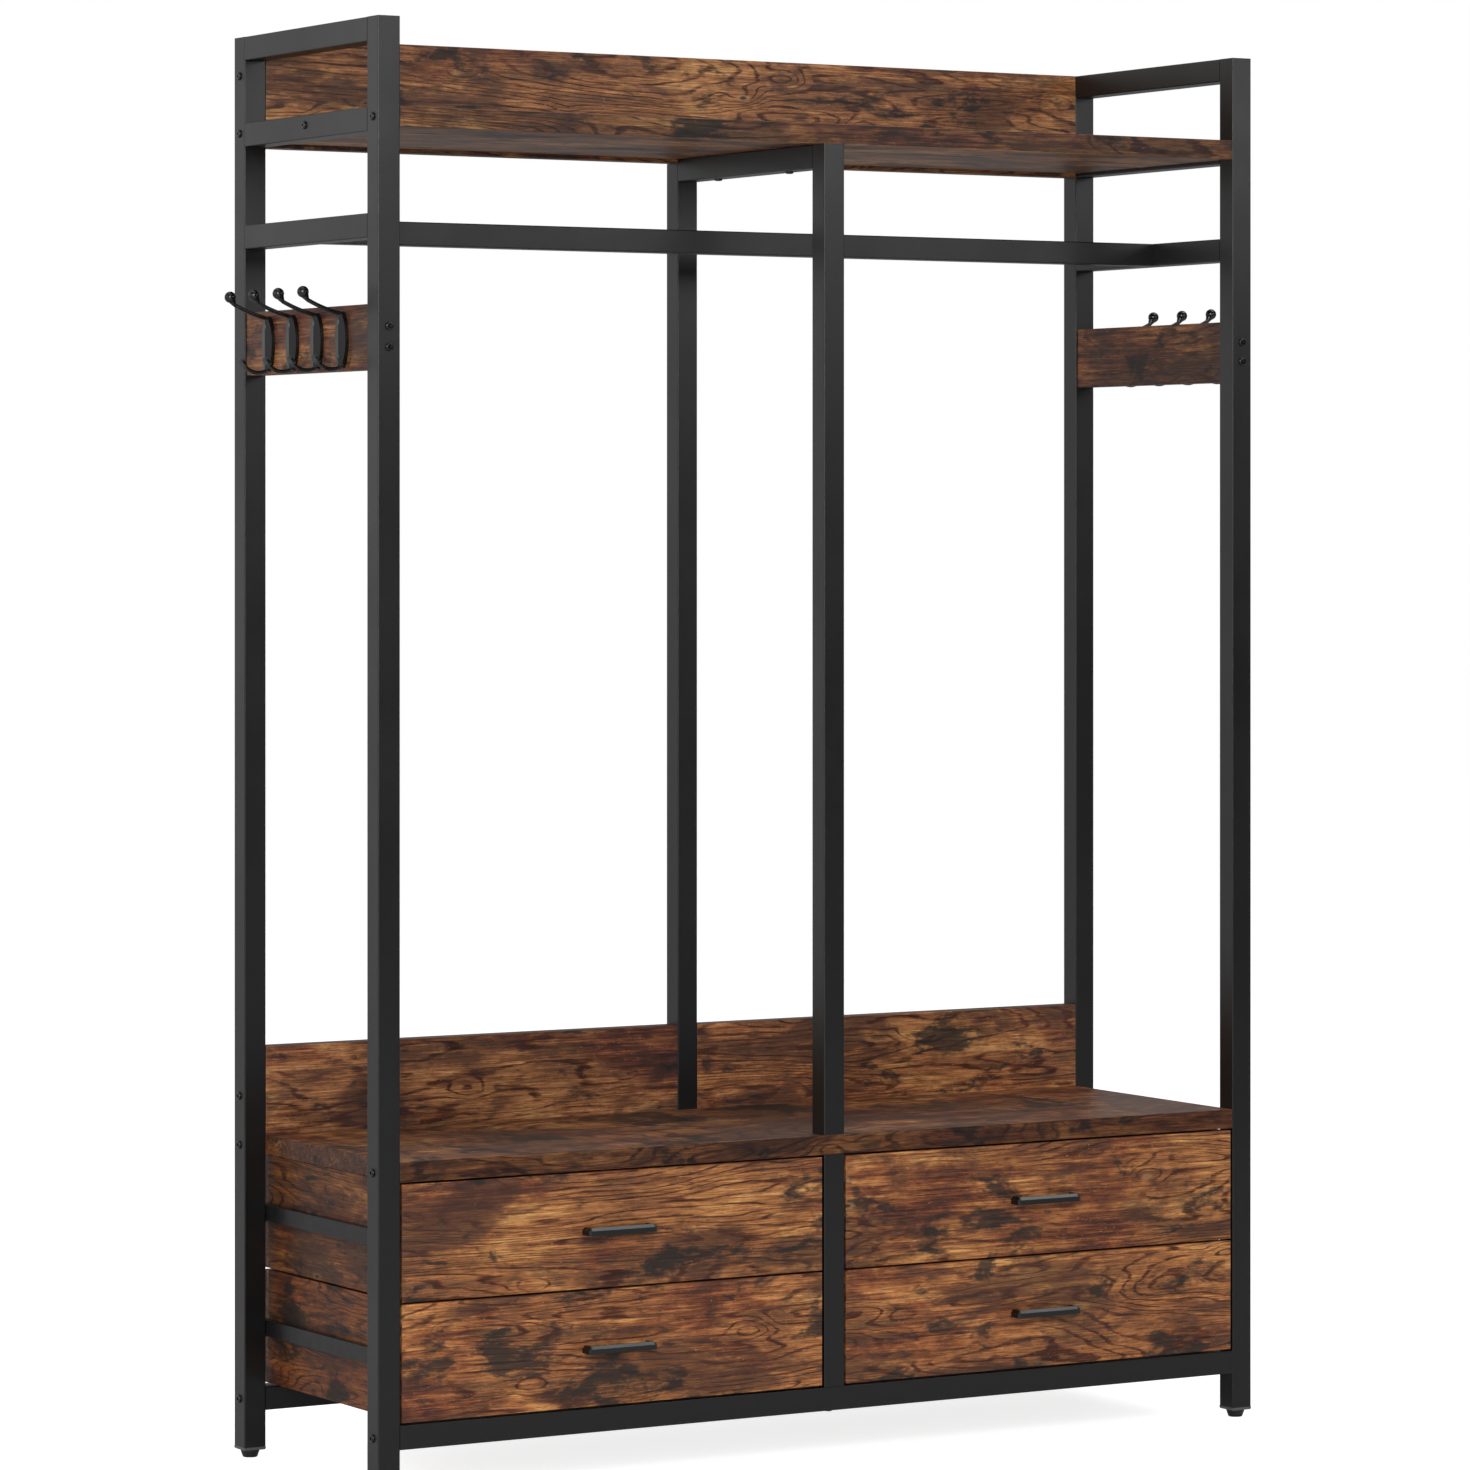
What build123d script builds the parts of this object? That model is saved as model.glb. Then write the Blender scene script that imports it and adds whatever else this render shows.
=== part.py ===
from build123d import *
from collections import namedtuple
import os

# Hall tree: a welded square-tube frame with a top shelf, a hanging rod, a bench on four drawers,
# and a row of coat hooks on the outside of each end.
# Millimetres. +X is to the right and +Y to the back, as seen by a person standing in front.
# The origin is on the floor, under the middle of the whole object.

# ---------- driving dimensions ----------
WIDTH = 1300.0                # outer face to outer face of the uprights
DEPTH = 400.0                 # front uprights' front face to rear uprights' rear face
HEIGHT = 1802.5               # floor to the top of the frame
TUBE = 30.0                   # square tube, outside
TUBE_WALL = 1.2
TUBE_CORNER = 1.5             # outside corner radius of the tube
BOARD = 25.0                  # shelf, bench, back boards and hook boards
BOARD_EDGE = 0.8              # rounding of a board's long edges

SHELF_TOP_DROP = 109.5        # frame top down to the shelf's top face
ROD_RAIL_DROP = 239.0         # frame top down to the top of the rail that carries the rod
BENCH_TOP = 409.5             # floor to the seat
BOTTOM_RAIL_BOTTOM = 59.5
PANEL_HEIGHT = 140.0          # back panel above the shelf
BACKSPLASH_TOP = 521.5
HOOK_BOARD_HEIGHT = 80.0
HOOK_BOARD_TOP_DROP = 349.5   # frame top down to the hook board's top edge

ROD_SOCKET_LENGTH = 25.0      # solid block inside each end of the hanging rod
ROD_PLAY = 0.2

LEG_END = 13.5                # lower end of the uprights above the floor
PLUG_RIM = 3.8                # rim of the plastic plug that shows below the upright
PLUG_DEPTH = 20.0
FOOT_TOP_RADIUS = 12.0
FOOT_BASE_RADIUS = 9.5
FOOT_GAP = 0.3                # between the foot and the plug
STEM_RADIUS = 4.0
STEM_FIT = 0.05               # radial play of the foot's stem in the plug
STEM_TOP = 36.0
FOOT_BASE_ROUND = 1.0
FOOT_TOP_BAND = 1.5           # straight band under the foot's top face
PLUG_CHAMFER = 1.2
PLUG_PLAY = 0.1               # round the plug's stem, inside the upright

FRONT_GAP = 2.5               # round the drawer fronts, above and below
FRONT_SIDE_GAP = 3.0
FRONT_THICK = 15.0
BOX_THICK = 12.0              # drawer sides and back
BOX_BACK_SETBACK = 5.0        # drawer back face to the frame's rear face
BOTTOM_THICK = 5.0
BOTTOM_RAISE = 12.0           # drawer bottom above the sides' lower edge
GROOVE_DEPTH = 5.0

SLIDE_WIDTH = 10.0            # gap between an upright and a drawer side
SLIDE_HEIGHT = 20.0
SLIDE_STEEL = 1.2
SLIDE_START = 16.0            # fixed channel's front end, from the frame's front face
SLIDE_END = 8.0               # and its rear end, from the frame's rear face
CHANNEL_REACH = 9.0           # upright to the edge of the channel's lips
INNER_HEIGHT = 12.0
INNER_LIP_START = 3.4         # upright to the edge of the inner member's lips
INNER_END_GAP = 6.0           # inner member's rear end to the drawer's back face
CAGE_STEEL = 0.6
CAGE_HALF_HEIGHT = 7.7
CAGE_START = 136.0            # cage's front end, from the frame's front face
CAGE_LENGTH = 126.0
CAGE_NEAR = 1.8               # upright to the cage's web
CAGE_FAR = 8.2                # and to the edge of its strips
BALL_LINE = 5.4               # upright to the balls' centres
BALL_RADIUS = 1.1
BALL_PLAY = 0.05
BALLS_PER_ROW = 8

HANDLE_LENGTH = 98.0
HANDLE_REACH = 18.0
HANDLE_BAR = 7.0              # bar thickness, front to back
HANDLE_LEG = 8.0
HANDLE_HEIGHT = 9.5
HANDLE_BEND = 5.0             # outside radius at the ends of the bar
HANDLE_INNER_BEND = 2.3
HANDLE_CHAMFER = 3.5          # slope along the bar's upper front edge
HANDLE_SCREW_RADIUS = 2.0
HANDLE_SCREW_GRIP = 10.0      # screw in the handle's leg
HANDLE_SCREW_HEAD_RADIUS = 3.5
HANDLE_SCREW_HEAD_HEIGHT = 2.2

BOLT_RADIUS = 3.0
BOLT_LENGTH = 45.0
BOLT_HEAD_RADIUS = 5.25
BOLT_HEAD_HEIGHT = 2.8
BOLT_HEAD_ROUND = 2.0
HEX_ACROSS_CORNERS = 4.6
HEX_DEPTH = 1.6
BOLT_HOLE_RADIUS = 3.3
INSERT_RADIUS = 5.0
INSERT_LENGTH = 15.0
PLATE_THICK = 4.0             # nut plate welded in a tube's end
PLATE_PLAY = 0.1              # round the nut plate
PANEL_BOLT_RISES = (18.0, 91.0)   # above the back panel's lower edge
SPLASH_BOLT_RISE = 62.0       # upper bolt of a backsplash above the lower one
HOOK_BOARD_BOLT_RISE = 12.75  # above and below the hook board's middle
SHELF_BOLT_SETBACK = 110.0    # from the frame's front and rear faces
STUD_REACH = 12.0             # stud past the faces that it joins

HOOKS_PER_SIDE = 4
HOOK_BODY_HALF_WIDTH = 14.4   # leaf-shaped plate with a ridge down its middle
HOOK_BODY_HEIGHT = 70.0
HOOK_BODY_RIDGE = 7.4
HOOK_BODY_EDGE = 4.6
HOOK_BODY_DROP = 2.0          # body's middle below the hook board's middle
ARM_RADIUS = 2.6
UPPER_ARM_START = (2.0, 30.0)     # (out from the board, up from the board's middle)
UPPER_ARM_MIDDLE = (26.0, 36.5)
UPPER_ARM_END = (49.5, 46.5)
KNOB_CENTRE = (55.4, 56.0)
KNOB_RADIUS = 7.2
NECK_RADIUS = 6.8             # of the neck's cone at the knob's centre
LOWER_ARM_START = (1.5, -33.5)
LOWER_ARM_HEADING = -32.0     # degrees above level at its start
LOWER_ARM_BENDS = ((30.0, 32.0), (23.0, 54.0))   # radius, and degrees turned upwards
TIP_REACH = 2.5               # end of the lower arm to the middle of its flat tip
TIP_HALF_WIDTH = 6.0
TIP_HALF_HEIGHT = 6.5
TIP_THICK = 3.6
HOOK_SCREW_RISE = 22.0        # hook screws above and below the middle of the body
HOOK_SCREW_RADIUS = 1.6
HOOK_SCREW_HEAD_RADIUS = 3.0
HOOK_SCREW_HEAD_HEIGHT = 2.2
HOOK_SCREW_SEAT = 5.0         # screw head's seat above the board
HOOK_SCREW_DEPTH = 16.0       # screw in the board

# ---------- places worked out from them ----------
FRONT = (HANDLE_REACH - DEPTH - BOLT_HEAD_HEIGHT) / 2   # Y of the frame's front face
REAR = FRONT + DEPTH
SIDE = WIDTH / 2
HALF = TUBE / 2
INNER_SIDE = SIDE - TUBE
INNER_REAR = REAR - TUBE
MIDDLE = FRONT + DEPTH / 2
FRONT_LINE = FRONT + HALF     # centre line of the front uprights
REAR_LINE = REAR - HALF
POST_LINE = SIDE - HALF

SHELF_TOP = HEIGHT - SHELF_TOP_DROP
SHELF_BOTTOM = SHELF_TOP - BOARD
PANEL_BOTTOM = HEIGHT - PANEL_HEIGHT
ROD_LINE = HEIGHT - ROD_RAIL_DROP - HALF
BENCH_BOTTOM = BENCH_TOP - BOARD
BOTTOM_RAIL_TOP = BOTTOM_RAIL_BOTTOM + TUBE
HOOK_BOARD_TOP = HEIGHT - HOOK_BOARD_TOP_DROP
HOOK_LINE = HOOK_BOARD_TOP - HOOK_BOARD_HEIGHT / 2
HOOK_BOARD_INSET = (TUBE - BOARD) / 2
HOOK_FACE = SIDE - HOOK_BOARD_INSET
HOOK_PITCH = (DEPTH - 2 * TUBE) / (HOOKS_PER_SIDE + 1)
HOOK_PLACES = [FRONT + TUBE + HOOK_PITCH * (k + 1) for k in range(HOOKS_PER_SIDE)]

FRONT_HEIGHT = (BENCH_BOTTOM - BOTTOM_RAIL_TOP - 3 * FRONT_GAP) / 2
ROWS = {
    "lower": BOTTOM_RAIL_TOP + FRONT_GAP,
    "upper": BOTTOM_RAIL_TOP + 2 * FRONT_GAP + FRONT_HEIGHT,
}
COLUMNS = {"left": -1, "right": 1}
COLUMN_CENTRE = (INNER_SIDE + HALF) / 2
BOX_BACK = REAR - BOX_BACK_SETBACK

Bolt = namedtuple("Bolt", "through into seat inward")
Stud = namedtuple("Stud", "parts start direction length")
nodes = {}


# ---------- basic shapes ----------
def block(x, y, z):
    """A box from a (low, high) pair on each axis, given in either order."""
    pairs = [sorted(pair) for pair in (x, y, z)]
    centre = [(low + high) / 2 for low, high in pairs]
    size = [high - low for low, high in pairs]
    return Pos(*centre) * Box(*size)


def board(x, y, z, grain=Axis.X):
    """A board whose edges along the grain are slightly rounded."""
    blank = block(x, y, z)
    return fillet(blank.edges().filter_by(grain), BOARD_EDGE)


def rod(start, direction, radius, length):
    """A round bar from a point along a direction."""
    return extrude(Plane(origin=start, z_dir=direction) * Circle(radius), amount=length)


def tube(start, end, shut=False):
    """A square tube between two points on its centre line. Shut: its far end is welded closed."""
    run = Vector(*end) - Vector(*start)
    plane = Plane(origin=start, z_dir=run.normalized())
    bore = TUBE - 2 * TUBE_WALL
    outside = RectangleRounded(TUBE, TUBE, TUBE_CORNER)
    inside = RectangleRounded(bore, bore, TUBE_CORNER - TUBE_WALL)
    hollow = run.length - TUBE_WALL if shut else run.length
    return extrude(plane * outside, amount=run.length) - extrude(plane * inside, amount=hollow)


def placed(shape, origin, direction):
    """A shape made along +Z, set with its foot at origin and its +Z along direction."""
    return Plane(origin=origin, z_dir=direction).location * shape


def revolved(profile):
    """A solid of revolution about Z from a closed outline of (radius, height) points."""
    outline = make_face(Polyline(*[(r, 0, h) for r, h in profile], close=True))
    return revolve(outline, Axis.Z)


def solids(shapes):
    """Several pieces that share one node."""
    return Compound(children=list(shapes))


# ---------- bolts, and the holes that they need ----------
def side_bolts():
    """Bolts through the outer faces of the two end frames."""
    shelf = (SHELF_TOP + SHELF_BOTTOM) / 2
    bench = (BENCH_TOP + BENCH_BOTTOM) / 2
    rail = BOTTOM_RAIL_BOTTOM + HALF
    panel = [PANEL_BOTTOM + rise for rise in PANEL_BOLT_RISES]
    splash = (bench, bench + SPLASH_BOLT_RISE)
    for name, sign in COLUMNS.items():
        splash_board = f"{name}_backsplash"
        rear = [("top_back_panel", z) for z in panel] + [(splash_board, z) for z in splash]
        rear.append(("rear_bottom_rail", rail))
        front = [("top_shelf", shelf), ("bench_top", bench), ("front_bottom_rail", rail)]
        places = [(f"{name}_rear_upright", into, REAR_LINE, z) for into, z in rear]
        places += [(f"{name}_front_upright", into, FRONT_LINE, z) for into, z in front]
        places.append((f"{name}_side_rails", "top_shelf", MIDDLE, shelf))
        for through, into, y, z in places:
            yield Bolt(through, into, (sign * SIDE, y, z), (-sign, 0, 0))


def hook_board_bolts():
    """Bolts through the uprights' front and rear faces into the ends of the hook boards."""
    for name, sign in COLUMNS.items():
        for end, y, inward in (("front", FRONT, 1), ("rear", REAR, -1)):
            for rise in (-HOOK_BOARD_BOLT_RISE, HOOK_BOARD_BOLT_RISE):
                seat = (sign * POST_LINE, y, HOOK_LINE + rise)
                yield Bolt(f"{name}_{end}_upright", f"{name}_hook_board", seat, (0, inward, 0))


def centre_bolts():
    """Upright bolts on the centre line: two into the shelf, and one into the foot of each post."""
    for y in (FRONT + SHELF_BOLT_SETBACK, REAR - SHELF_BOLT_SETBACK):
        yield Bolt("center_top_rail", "top_shelf", (0, y, SHELF_BOTTOM - TUBE), (0, 0, 1))
    posts = {"front_bottom_rail": ("cabinet_center_post", FRONT_LINE),
             "rear_bottom_rail": ("center_rear_post", REAR_LINE)}
    for rail, (post, y) in posts.items():
        yield Bolt(rail, post, (0, y, BOTTOM_RAIL_BOTTOM), (0, 0, 1))


BOLTS = [*side_bolts(), *hook_board_bolts(), *centre_bolts()]
TUBE_ENDS = ("front_bottom_rail", "rear_bottom_rail", "cabinet_center_post", "center_rear_post")
STUDS = [Stud(("bench_top",), (0, FRONT_LINE, BENCH_BOTTOM - STUD_REACH), (0, 0, 1), BOARD + 2 * STUD_REACH)]
for bolt in BOLTS:
    if bolt.through == "left_rear_upright" and bolt.into == "left_backsplash":
        start = (-HALF - STUD_REACH, REAR_LINE, bolt.seat[2])
        joined = ("center_rear_post", "left_backsplash", "right_backsplash")
        STUDS.append(Stud(joined, start, (1, 0, 0), TUBE + 2 * STUD_REACH))


def drilled(name, part):
    """The part with the holes of every bolt and stud that passes through it or ends in it."""
    for bolt in BOLTS:
        if bolt.through == name:
            part -= rod(bolt.seat, bolt.inward, BOLT_HOLE_RADIUS, TUBE)
        if bolt.into == name and name not in TUBE_ENDS:
            mouth = Vector(*bolt.seat) + TUBE * Vector(*bolt.inward)
            part -= rod(mouth, bolt.inward, INSERT_RADIUS, INSERT_LENGTH)
    for stud in STUDS:
        if name in stud.parts:
            part -= rod(stud.start, stud.direction, BOLT_RADIUS, stud.length)
    return part


def add(name, part):
    """Keeps a piece, with its bolt holes, as the node of that name."""
    nodes[name] = drilled(name, part)


def button_bolt():
    """A socket button-head bolt whose head sits on Z = 0 and whose shank runs up +Z."""
    head = Pos(0, 0, -BOLT_HEAD_HEIGHT / 2) * Cylinder(BOLT_HEAD_RADIUS, BOLT_HEAD_HEIGHT)
    head = fillet(head.edges().filter_by(GeomType.CIRCLE).sort_by(Axis.Z)[0], BOLT_HEAD_ROUND)
    socket = extrude(RegularPolygon(HEX_ACROSS_CORNERS / 2, 6), amount=HEX_DEPTH)
    head -= Pos(0, 0, -BOLT_HEAD_HEIGHT) * socket
    return head + Pos(0, 0, BOLT_LENGTH / 2) * Cylinder(BOLT_RADIUS, BOLT_LENGTH)


def threaded_insert():
    """The insert that a bolt ends in, in a board. It starts where the tube's far face is."""
    ring = Cylinder(INSERT_RADIUS, INSERT_LENGTH) - Cylinder(BOLT_RADIUS, INSERT_LENGTH)
    return Pos(0, 0, TUBE + INSERT_LENGTH / 2) * ring


def nut_plate():
    """The threaded plate that a bolt ends in, just inside a tube's end."""
    width = TUBE - 2 * (TUBE_WALL + PLATE_PLAY)
    plate = Box(width, width, PLATE_THICK) - Cylinder(BOLT_RADIUS, PLATE_THICK)
    return Pos(0, 0, PLATE_THICK / 2) * plate


def make_fasteners():
    bolt_shape, insert_shape, plate_shape = button_bolt(), threaded_insert(), nut_plate()
    bolts = [placed(bolt_shape, bolt.seat, bolt.inward) for bolt in BOLTS]
    studs = [rod(stud.start, stud.direction, BOLT_RADIUS, stud.length) for stud in STUDS]
    nuts = []
    for bolt in BOLTS:
        if bolt.into in TUBE_ENDS:
            nuts.append(placed(plate_shape, Vector(*bolt.seat) + TUBE * Vector(*bolt.inward), bolt.inward))
        else:
            nuts.append(placed(insert_shape, bolt.seat, bolt.inward))
    nuts.append(placed(plate_shape, (0, FRONT_LINE, BENCH_TOP), (0, 0, 1)))
    nuts.append(placed(plate_shape, (0, FRONT_LINE, BENCH_BOTTOM), (0, 0, -1)))
    nodes["frame_bolts"] = solids(bolts)
    nodes["joining_studs"] = solids(studs)
    nodes["threaded_inserts"] = solids(nuts)


# ---------- frame ----------
def make_end_frames():
    """At each end: two uprights, three rails between them, and the block that the rod fits over."""
    socket = HALF - TUBE_WALL - ROD_PLAY
    for name, sign in COLUMNS.items():
        x = sign * POST_LINE
        for end, y in (("front", FRONT_LINE), ("rear", REAR_LINE)):
            add(f"{name}_{end}_upright", tube((x, y, LEG_END), (x, y, HEIGHT), shut=True))
        levels = (HEIGHT - HALF, SHELF_TOP - HALF, ROD_LINE)
        rails = [tube((x, FRONT + TUBE, z), (x, INNER_REAR, z)) for z in levels]
        reach = (sign * INNER_SIDE, sign * (INNER_SIDE - ROD_SOCKET_LENGTH))
        rails.append(block(reach, (MIDDLE - socket, MIDDLE + socket), (ROD_LINE - socket, ROD_LINE + socket)))
        add(f"{name}_side_rails", solids(rails))


def make_centre_frame():
    """Two posts joined by a rail under the shelf, and a short post between the drawer columns."""
    rail = SHELF_BOTTOM - HALF
    add("center_front_post", tube((0, FRONT_LINE, BENCH_TOP), (0, FRONT_LINE, SHELF_BOTTOM), shut=True))
    add("center_rear_post", tube((0, REAR_LINE, BOTTOM_RAIL_TOP), (0, REAR_LINE, PANEL_BOTTOM), shut=True))
    add("center_top_rail", tube((0, FRONT + TUBE, rail), (0, INNER_REAR, rail)))
    add("cabinet_center_post", tube((0, FRONT_LINE, BOTTOM_RAIL_TOP), (0, FRONT_LINE, BENCH_BOTTOM)))


def make_long_rails():
    """The two bottom rails and the hanging rod."""
    level = BOTTOM_RAIL_BOTTOM + HALF
    add("front_bottom_rail", tube((-INNER_SIDE, FRONT_LINE, level), (INNER_SIDE, FRONT_LINE, level)))
    add("rear_bottom_rail", tube((-INNER_SIDE, REAR_LINE, level), (INNER_SIDE, REAR_LINE, level)))
    nodes["hanging_rod"] = tube((-INNER_SIDE, MIDDLE, ROD_LINE), (INNER_SIDE, MIDDLE, ROD_LINE))


# ---------- boards ----------
def make_boards():
    across = (-INNER_SIDE, INNER_SIDE)
    over = (FRONT, INNER_REAR)
    back = (INNER_REAR, INNER_REAR + BOARD)
    add("top_shelf", board(across, over, (SHELF_BOTTOM, SHELF_TOP)))
    add("top_back_panel", board(across, back, (PANEL_BOTTOM, HEIGHT)))
    add("bench_top", board(across, over, (BENCH_BOTTOM, BENCH_TOP)))
    for name, sign in COLUMNS.items():
        half = (sign * HALF, sign * INNER_SIDE)
        add(f"{name}_backsplash", board(half, back, (BENCH_BOTTOM, BACKSPLASH_TOP)))
        thick = (sign * HOOK_FACE, sign * (HOOK_FACE - BOARD))
        between = (FRONT + TUBE, INNER_REAR)
        tall = (HOOK_BOARD_TOP - HOOK_BOARD_HEIGHT, HOOK_BOARD_TOP)
        plank = board(thick, between, tall, grain=Axis.Y)
        for y in HOOK_PLACES:
            for rise in (-HOOK_SCREW_RISE, HOOK_SCREW_RISE):
                mouth = (sign * HOOK_FACE, y, HOOK_LINE - HOOK_BODY_DROP + rise)
                plank -= rod(mouth, (-sign, 0, 0), HOOK_SCREW_RADIUS, HOOK_SCREW_DEPTH)
        add(f"{name}_hook_board", plank)


# ---------- hooks ----------
def hook():
    """A cast double hook on the plane X = 0, its arms reaching along +X, heights from the board's middle."""
    middle = -HOOK_BODY_DROP
    half, edge = HOOK_BODY_HALF_WIDTH, HOOK_BODY_EDGE
    section = Polyline((0, -half), (edge, -half), (HOOK_BODY_RIDGE, 0), (edge, half), (0, half), close=True)
    ridged = Pos(0, 0, middle - HOOK_BODY_HEIGHT / 2) * extrude(make_face(section), amount=HOOK_BODY_HEIGHT)
    leaf = extrude(Plane.YZ * Ellipse(half, HOOK_BODY_HEIGHT / 2), amount=HOOK_BODY_RIDGE)
    body = ridged & (Pos(0, 0, middle) * leaf)
    for rise in (-HOOK_SCREW_RISE, HOOK_SCREW_RISE):
        body -= rod((0, 0, middle + rise), (1, 0, 0), HOOK_SCREW_RADIUS, HOOK_BODY_RIDGE)
        seat = (HOOK_SCREW_SEAT, 0, middle + rise)
        body -= rod(seat, (1, 0, 0), HOOK_SCREW_HEAD_RADIUS, HOOK_BODY_RIDGE)
    return body + upper_arm() + lower_arm()


def swept(path):
    """A round bar along a path in the XZ plane."""
    return sweep(Plane(origin=path @ 0, z_dir=path % 0) * Circle(ARM_RADIUS), path=path)


def upper_arm():
    """The long arm, its slim neck and the knob on its end."""
    points = [Vector(out, 0, up) for out, up in (UPPER_ARM_START, UPPER_ARM_MIDDLE, UPPER_ARM_END)]
    arm = swept(ThreePointArc(*points))
    centre = Vector(KNOB_CENTRE[0], 0, KNOB_CENTRE[1])
    neck = centre - points[2]
    cone = Pos(0, 0, neck.length / 2) * Cone(ARM_RADIUS, NECK_RADIUS, neck.length)
    knob = Pos(*centre) * Sphere(KNOB_RADIUS)
    return arm + placed(cone, points[2], neck) + knob


def lower_arm():
    """The short arm that curls out and up, and its flat leaf-shaped tip."""
    side = Plane(origin=(0, 0, 0), x_dir=(1, 0, 0), z_dir=(0, -1, 0))
    place, heading = Vector(*LOWER_ARM_START), Vector(1, 0).rotate(Axis.Z, LOWER_ARM_HEADING)
    bends = []
    for radius, turn in LOWER_ARM_BENDS:
        bends.append(JernArc(place, heading, radius, turn))
        place, heading = bends[-1] @ 1, bends[-1] % 1
    path = side * Wire([bend.edge() for bend in bends])
    end, direction = path @ 1, path % 1
    across = Vector(0, 1, 0)
    tip_plane = Plane(origin=end + direction * TIP_REACH, x_dir=across, z_dir=direction.cross(across))
    tip = extrude(Ellipse(TIP_HALF_WIDTH, TIP_HALF_HEIGHT), amount=TIP_THICK / 2, both=True)
    return swept(path) + tip_plane.location * tip


def make_hooks():
    shape = hook()
    length = HOOK_SCREW_SEAT + HOOK_SCREW_DEPTH
    screw = pan_screw(HOOK_SCREW_RADIUS, length, HOOK_SCREW_HEAD_RADIUS, HOOK_SCREW_HEAD_HEIGHT)
    screws = []
    for name, sign in COLUMNS.items():
        turn = Rot(0, 0, 0) if sign > 0 else Rot(0, 0, 180)
        places = [Pos(sign * HOOK_FACE, y, HOOK_LINE) for y in HOOK_PLACES]
        nodes[f"{name}_hooks"] = solids(place * turn * shape for place in places)
        for y in HOOK_PLACES:
            for rise in (-HOOK_SCREW_RISE, HOOK_SCREW_RISE):
                seat = (sign * (HOOK_FACE + HOOK_SCREW_SEAT), y, HOOK_LINE - HOOK_BODY_DROP + rise)
                screws.append(placed(screw, seat, (-sign, 0, 0)))
    nodes["hook_screws"] = solids(screws)


# ---------- feet ----------
def make_feet():
    """A plastic plug in the end of each upright, and a levelling foot screwed into it."""
    plugs = []
    foot_top = LEG_END - PLUG_RIM - FOOT_GAP
    profile = [
        (0, 0), (FOOT_BASE_RADIUS - FOOT_BASE_ROUND, 0), (FOOT_BASE_RADIUS, FOOT_BASE_ROUND),
        (FOOT_TOP_RADIUS, foot_top - FOOT_TOP_BAND),
        (FOOT_TOP_RADIUS, foot_top), (STEM_RADIUS, foot_top), (STEM_RADIUS, STEM_TOP), (0, STEM_TOP),
    ]
    foot = revolved(profile)
    inside = HALF - TUBE_WALL - PLUG_PLAY
    for name, sign in COLUMNS.items():
        for end, y in (("front", FRONT_LINE), ("rear", REAR_LINE)):
            x = sign * POST_LINE
            rim = block((x - HALF, x + HALF), (y - HALF, y + HALF), (LEG_END - PLUG_RIM, LEG_END))
            rim = chamfer(rim.edges().group_by(Axis.Z)[0], PLUG_CHAMFER)
            stem = block((x - inside, x + inside), (y - inside, y + inside), (LEG_END, LEG_END + PLUG_DEPTH))
            bore = rod((x, y, 0), (0, 0, 1), STEM_RADIUS + STEM_FIT, LEG_END + PLUG_DEPTH)
            plugs.append(rim + stem - bore)
            nodes[f"{name}_{end}_foot"] = Pos(x, y, 0) * foot
    nodes["leg_plugs"] = solids(plugs)


# ---------- drawers ----------
def slide_places(sign):
    """For one column: each slide's fixed face, and the direction from it towards the drawer."""
    return ((sign * INNER_SIDE, -sign), (sign * HALF, sign))


def mirrored(shape):
    """The shape with its upside-down copy, both as one."""
    return shape + mirror(shape, about=Plane.XY)


def facing(shape, towards):
    """A slide's piece, made opening towards +X, turned to open the other way where needed."""
    return shape if towards > 0 else mirror(shape, about=Plane.YZ)


def channel():
    """The fixed outer channel of a slide. It opens towards +X, is centred on Z = 0, and ends in a stop."""
    y = (FRONT + SLIDE_START, REAR - SLIDE_END)
    half = SLIDE_HEIGHT / 2
    web = block((0, SLIDE_STEEL), y, (0, half))
    lip = block((0, CHANNEL_REACH), y, (half - SLIDE_STEEL, half))
    stop = block((0, CHANNEL_REACH), (y[1] - SLIDE_STEEL, y[1]), (0, half))
    return mirrored(web + lip + stop)


def inner_member():
    """The moving member of a slide, screwed to the drawer's side."""
    y = (FRONT + SLIDE_START, BOX_BACK - INNER_END_GAP)
    half = INNER_HEIGHT / 2
    web = block((SLIDE_WIDTH - SLIDE_STEEL, SLIDE_WIDTH), y, (0, half))
    lip = block((INNER_LIP_START, SLIDE_WIDTH), y, (half - SLIDE_STEEL, half))
    return mirrored(web + lip)


def ball_places():
    """Centres of the balls of one slide: two rows, above and below."""
    level = CAGE_HALF_HEIGHT - CAGE_STEEL / 2
    pitch = CAGE_LENGTH / BALLS_PER_ROW
    for k in range(BALLS_PER_ROW):
        for row in (-1, 1):
            yield (BALL_LINE, FRONT + CAGE_START + pitch * (k + 0.5), row * level)


def ball_cage():
    """The thin channel that keeps a slide's balls apart."""
    y = (FRONT + CAGE_START, FRONT + CAGE_START + CAGE_LENGTH)
    web = block((CAGE_NEAR, CAGE_NEAR + CAGE_STEEL), y, (0, CAGE_HALF_HEIGHT))
    strip = block((CAGE_NEAR, CAGE_FAR), y, (CAGE_HALF_HEIGHT - CAGE_STEEL, CAGE_HALF_HEIGHT))
    cage = mirrored(web + strip)
    for x, ball_y, z in ball_places():
        cage -= rod((x, ball_y, z - BALL_RADIUS), (0, 0, 1), BALL_RADIUS + BALL_PLAY, 2 * BALL_RADIUS)
    return cage


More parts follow.
